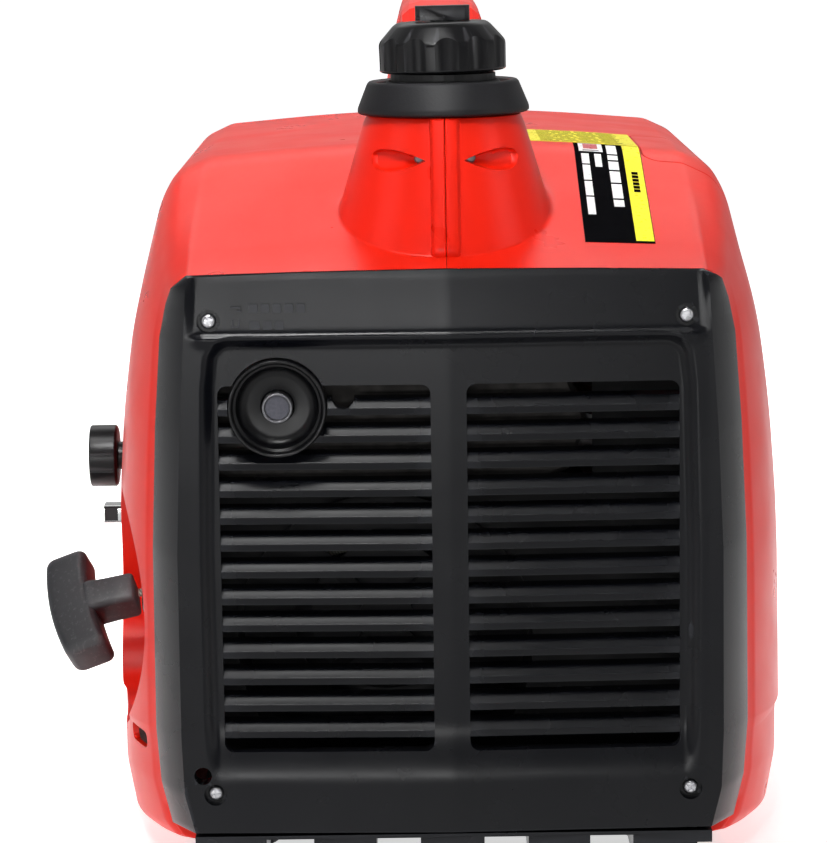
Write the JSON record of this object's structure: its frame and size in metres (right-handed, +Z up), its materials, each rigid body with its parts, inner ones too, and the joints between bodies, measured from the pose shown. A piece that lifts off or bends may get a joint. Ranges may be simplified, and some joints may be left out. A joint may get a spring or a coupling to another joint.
{
  "type": "portable generator",
  "caption": "Suitcase-style inverter generator in a red moulded shell with black louvred end panels, filler tower, carry handle and recoil starter.",
  "frame": {"origin": "centre of the whole object's box at the level the feet stand on; the body's own centre plane lies 16.2 mm to +X of it, because the starter grip stands out on the -X side", "axes": "+Z up, +Y along the body's length from the exhaust end to the control end, +X to the right seen from the exhaust end"},
  "size_m": [0.3534, 0.506, 0.3912],
  "materials": {
    "red_shell": "semi-gloss moulded",
    "black_panel": "satin moulded",
    "dark_plastic": "satin moulded",
    "grip_plastic": "fine scratched satin",
    "plate_grey": "fine grain",
    "outlet_black": "semi-gloss",
    "seal_rubber": "matt",
    "tank_plastic": "matt",
    "strainer_plastic": "matt",
    "pulley_plastic": "matt",
    "rope": "braided",
    "steel": "satin",
    "screw_steel": "zinc black",
    "exhaust_steel": "heat stained",
    "aluminium": "cast",
    "cylinder_iron": "cast",
    "rotor_steel": "machined",
    "copper_winding": "enamelled wire",
    "brass": "satin",
    "filter_foam": "open foam",
    "ceramic": "glazed",
    "button_red": "semi-gloss",
    "filler_orange": "satin",
    "lens_green": "clear"
  },
  "bodies": {
    "root": {"left_shell": "red_shell", "right_shell": "red_shell", "carry_handle": "red_shell", "rear_panel": "black_panel", "front_panel": "black_panel", "base_tray": "black_panel", "rear_screw_1": "screw_steel", "rear_screw_2": "screw_steel", "rear_screw_3": "screw_steel", "rear_screw_4": "screw_steel", "foot_1": "seal_rubber", "foot_2": "seal_rubber", "foot_3": "seal_rubber", "foot_4": "seal_rubber", "fuel_tank": "tank_plastic", "fuel_strainer": "strainer_plastic", "neck_seal": "seal_rubber", "fuel_valve": "brass", "fuel_hose": "seal_rubber", "outlet_dish": "dark_plastic", "tail_pipe": "steel", "muffler": "exhaust_steel", "muffler_shield": "steel", "exhaust_pipe": "exhaust_steel", "recoil_housing": "dark_plastic", "starter_rope": "rope", "rope_guide": "steel", "stator": "copper_winding", "crankcase": "aluminium", "crankcase_cover": "aluminium", "cylinder": "cylinder_iron", "cylinder_head": "aluminium", "rocker_cover": "aluminium", "spark_plug": "ceramic", "plug_boot": "seal_rubber", "carburetor": "aluminium", "air_cleaner_case": "dark_plastic", "air_filter": "filter_foam", "inverter_unit": "aluminium", "control_panel": "plate_grey", "ac_outlet_1": "outlet_black", "ac_outlet_2": "outlet_black", "dc_outlet": "outlet_black", "indicator_lens": "lens_green", "ground_terminal": "brass"},
    "cap_lift": {"cap_gasket": "seal_rubber"},
    "fuel_cap": {"fuel_cap": "dark_plastic"},
    "vent_knob": {"vent_knob": "dark_plastic"},
    "pull_handle": {"pull_handle": "grip_plastic"},
    "recoil_pulley": {"recoil_pulley": "pulley_plastic"},
    "crank_train": {"crankshaft": "steel", "flywheel_rotor": "rotor_steel", "cooling_fan": "dark_plastic"},
    "engine_knob": {"engine_knob": "dark_plastic"},
    "choke_lever": {"choke_lever": "dark_plastic"},
    "breaker_button": {"breaker_button": "button_red"},
    "eco_switch": {"eco_switch": "outlet_black"},
    "side_cover": {"side_cover": "red_shell"},
    "plug_cover": {"plug_cover": "red_shell"},
    "oil_filler_cap": {"oil_filler_cap": "filler_orange"}
  },
  "joints": [
    {"name": "cap_lift", "type": "slide", "parent": "root", "child": "cap_lift", "axis": [0, 0, 1], "range_m": [0, 0.06]},
    {"name": "cap_turn", "type": "hinge", "parent": "cap_lift", "child": "fuel_cap", "pos_m": [0.0162, -0.184, 0.36], "axis": [0, 0, 1], "continuous": true},
    {"name": "vent_turn", "type": "hinge", "parent": "fuel_cap", "child": "vent_knob", "pos_m": [0.0162, -0.184, 0.386], "axis": [0, 0, 1], "range_deg": [0, 90]},
    {"name": "starter_pull", "type": "slide", "parent": "root", "child": "pull_handle", "axis": [-0.9781, 0, -0.2081], "range_m": [0, 0.32], "stiffness_N_per_m": 20, "springref_m": -0.2},
    {"name": "pulley_turn", "type": "hinge", "parent": "root", "child": "recoil_pulley", "pos_m": [-0.0138, -0.143, 0.1], "axis": [0, -1, 0], "range_deg": [0, 540]},
    {"name": "crank_spin", "type": "hinge", "parent": "root", "child": "crank_train", "pos_m": [-0.0138, -0.06, 0.1], "axis": [0, -1, 0], "continuous": true},
    {"name": "engine_knob_turn", "type": "hinge", "parent": "root", "child": "engine_knob", "pos_m": [-0.1503, -0.105, 0.172], "axis": [-1, 0, 0], "range_deg": [0, 90]},
    {"name": "choke_slide", "type": "slide", "parent": "root", "child": "choke_lever", "axis": [0, 1, 0], "range_m": [0, 0.009]},
    {"name": "breaker_press", "type": "slide", "parent": "root", "child": "breaker_button", "axis": [0, -1, 0], "range_m": [0, 0.0022], "stiffness_N_per_m": 400, "springref_m": -0.002},
    {"name": "eco_rock", "type": "hinge", "parent": "root", "child": "eco_switch", "pos_m": [0.0522, 0.235, 0.205], "axis": [0, 0, 1], "range_deg": [-6, 6]},
    {"name": "side_cover_off", "type": "slide", "parent": "root", "child": "side_cover", "axis": [1, 0, 0], "range_m": [0, 0.08]},
    {"name": "plug_cover_off", "type": "slide", "parent": "root", "child": "plug_cover", "axis": [0.4226, 0, 0.9063], "range_m": [0, 0.06]},
    {"name": "oil_cap_turn", "type": "hinge", "parent": "root", "child": "oil_filler_cap", "pos_m": [0.0662, -0.004, 0.062], "axis": [1, 0, 0], "continuous": true}
  ],
  "couplings": [
    {"joint": "pulley_turn", "follows": "starter_pull", "rad_per_m": 28.9}
  ]
}
